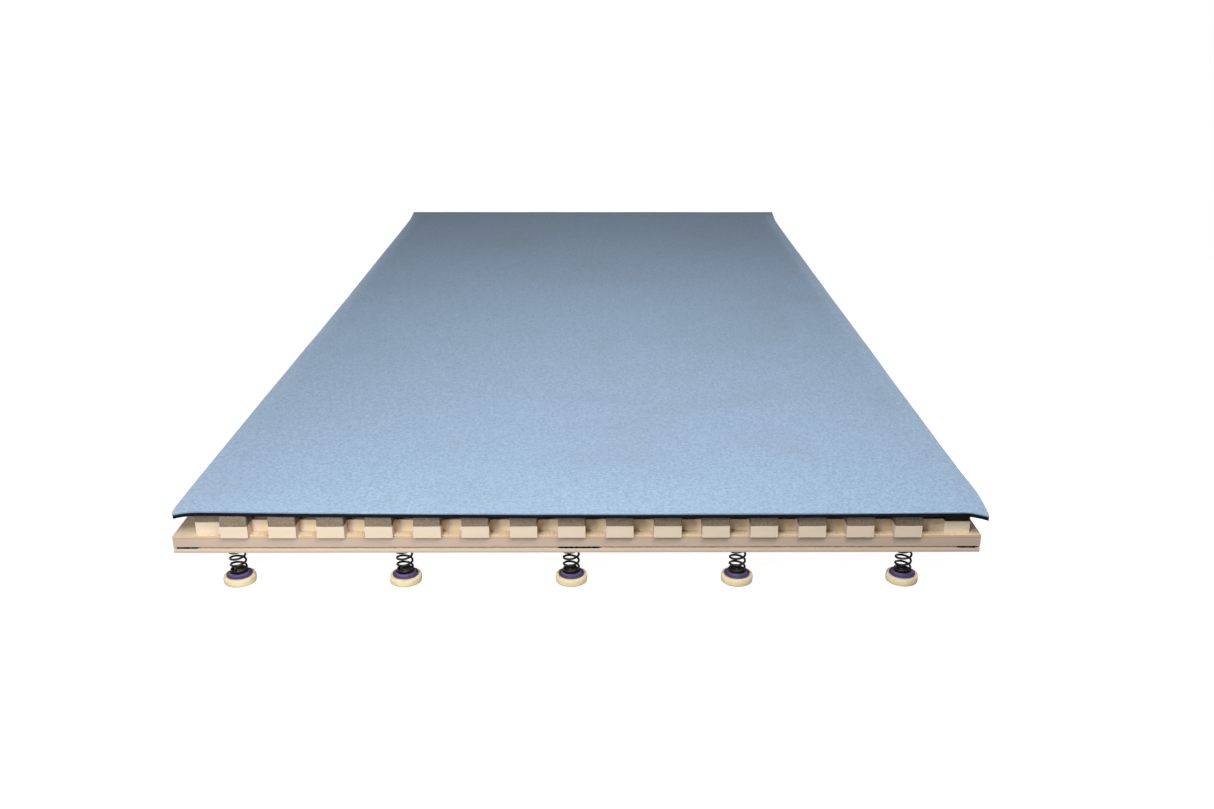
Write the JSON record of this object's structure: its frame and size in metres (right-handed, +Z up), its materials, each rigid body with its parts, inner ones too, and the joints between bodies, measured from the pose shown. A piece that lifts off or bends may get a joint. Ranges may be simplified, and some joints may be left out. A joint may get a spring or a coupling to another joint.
{
  "type": "sprung floor section",
  "caption": "Long carpeted floor section: foam-topped wooden slats on two layers of board, carried by coil springs in cup and pad feet.",
  "frame": {"origin": "on the ground, under the middle of the section's box", "axes": "+Y along the section, from the front end to the back end, +X to the right across it, +Z up from the ground to the carpet"},
  "size_m": [2.015, 4, 0.215],
  "materials": {
    "carpet_pile": "matte",
    "carpet_backing": "matte",
    "foam": "matte",
    "slat_wood": "satin",
    "upper_board": "satin",
    "lower_board": "satin",
    "hook_and_loop": "matte",
    "spring_steel": "satin",
    "cup_plastic": "satin",
    "pad": "matte"
  },
  "bodies": {
    "deck": {"carpet_pile": "carpet_pile", "carpet_backing": "carpet_backing", "foam_grid": "foam", "slat_end_left": "slat_wood", "slat_01": "slat_wood", "slat_02": "slat_wood", "slat_03": "slat_wood", "slat_04": "slat_wood", "slat_05": "slat_wood", "slat_06": "slat_wood", "slat_07": "slat_wood", "slat_08": "slat_wood", "slat_09": "slat_wood", "slat_10": "slat_wood", "slat_11": "slat_wood", "slat_12": "slat_wood", "slat_13": "slat_wood", "slat_14": "slat_wood", "slat_15": "slat_wood", "slat_end_right": "slat_wood", "cross_batten_front": "slat_wood", "cross_batten_middle": "slat_wood", "cross_batten_back": "slat_wood", "upper_board_front": "upper_board", "upper_board_back": "upper_board", "hook_strip_left": "hook_and_loop", "hook_strip_middle": "hook_and_loop", "hook_strip_right": "hook_and_loop", "lower_board_front": "lower_board", "lower_board_back": "lower_board", "spring_front_1": "spring_steel", "spring_front_2": "spring_steel", "spring_front_3": "spring_steel", "spring_front_4": "spring_steel", "spring_front_5": "spring_steel", "spring_back_1": "spring_steel", "spring_back_2": "spring_steel", "spring_back_3": "spring_steel", "spring_back_4": "spring_steel", "spring_back_5": "spring_steel"},
    "foot_front_1": {"foot_cup_front_1": "cup_plastic", "foot_pad_front_1": "pad"},
    "foot_front_2": {"foot_cup_front_2": "cup_plastic", "foot_pad_front_2": "pad"},
    "foot_front_3": {"foot_cup_front_3": "cup_plastic", "foot_pad_front_3": "pad"},
    "foot_front_4": {"foot_cup_front_4": "cup_plastic", "foot_pad_front_4": "pad"},
    "foot_front_5": {"foot_cup_front_5": "cup_plastic", "foot_pad_front_5": "pad"},
    "foot_back_1": {"foot_cup_back_1": "cup_plastic", "foot_pad_back_1": "pad"},
    "foot_back_2": {"foot_cup_back_2": "cup_plastic", "foot_pad_back_2": "pad"},
    "foot_back_3": {"foot_cup_back_3": "cup_plastic", "foot_pad_back_3": "pad"},
    "foot_back_4": {"foot_cup_back_4": "cup_plastic", "foot_pad_back_4": "pad"},
    "foot_back_5": {"foot_cup_back_5": "cup_plastic", "foot_pad_back_5": "pad"}
  },
  "joints": [
    {"name": "press_front_1", "type": "slide", "parent": "deck", "child": "foot_front_1", "axis": [0, 0, 1], "range_m": [-0.0088, 0.04], "stiffness_N_per_m": 39500, "springref_m": -0.0088, "deforming": ["spring_front_1"]},
    {"name": "press_front_2", "type": "slide", "parent": "deck", "child": "foot_front_2", "axis": [0, 0, 1], "range_m": [-0.0088, 0.04], "stiffness_N_per_m": 39500, "springref_m": -0.0088, "deforming": ["spring_front_2"]},
    {"name": "press_front_3", "type": "slide", "parent": "deck", "child": "foot_front_3", "axis": [0, 0, 1], "range_m": [-0.0088, 0.04], "stiffness_N_per_m": 39500, "springref_m": -0.0088, "deforming": ["spring_front_3"]},
    {"name": "press_front_4", "type": "slide", "parent": "deck", "child": "foot_front_4", "axis": [0, 0, 1], "range_m": [-0.0088, 0.04], "stiffness_N_per_m": 39500, "springref_m": -0.0088, "deforming": ["spring_front_4"]},
    {"name": "press_front_5", "type": "slide", "parent": "deck", "child": "foot_front_5", "axis": [0, 0, 1], "range_m": [-0.0088, 0.04], "stiffness_N_per_m": 39500, "springref_m": -0.0088, "deforming": ["spring_front_5"]},
    {"name": "press_back_1", "type": "slide", "parent": "deck", "child": "foot_back_1", "axis": [0, 0, 1], "range_m": [-0.0088, 0.04], "stiffness_N_per_m": 39500, "springref_m": -0.0088, "deforming": ["spring_back_1"]},
    {"name": "press_back_2", "type": "slide", "parent": "deck", "child": "foot_back_2", "axis": [0, 0, 1], "range_m": [-0.0088, 0.04], "stiffness_N_per_m": 39500, "springref_m": -0.0088, "deforming": ["spring_back_2"]},
    {"name": "press_back_3", "type": "slide", "parent": "deck", "child": "foot_back_3", "axis": [0, 0, 1], "range_m": [-0.0088, 0.04], "stiffness_N_per_m": 39500, "springref_m": -0.0088, "deforming": ["spring_back_3"]},
    {"name": "press_back_4", "type": "slide", "parent": "deck", "child": "foot_back_4", "axis": [0, 0, 1], "range_m": [-0.0088, 0.04], "stiffness_N_per_m": 39500, "springref_m": -0.0088, "deforming": ["spring_back_4"]},
    {"name": "press_back_5", "type": "slide", "parent": "deck", "child": "foot_back_5", "axis": [0, 0, 1], "range_m": [-0.0088, 0.04], "stiffness_N_per_m": 39500, "springref_m": -0.0088, "deforming": ["spring_back_5"]}
  ]
}
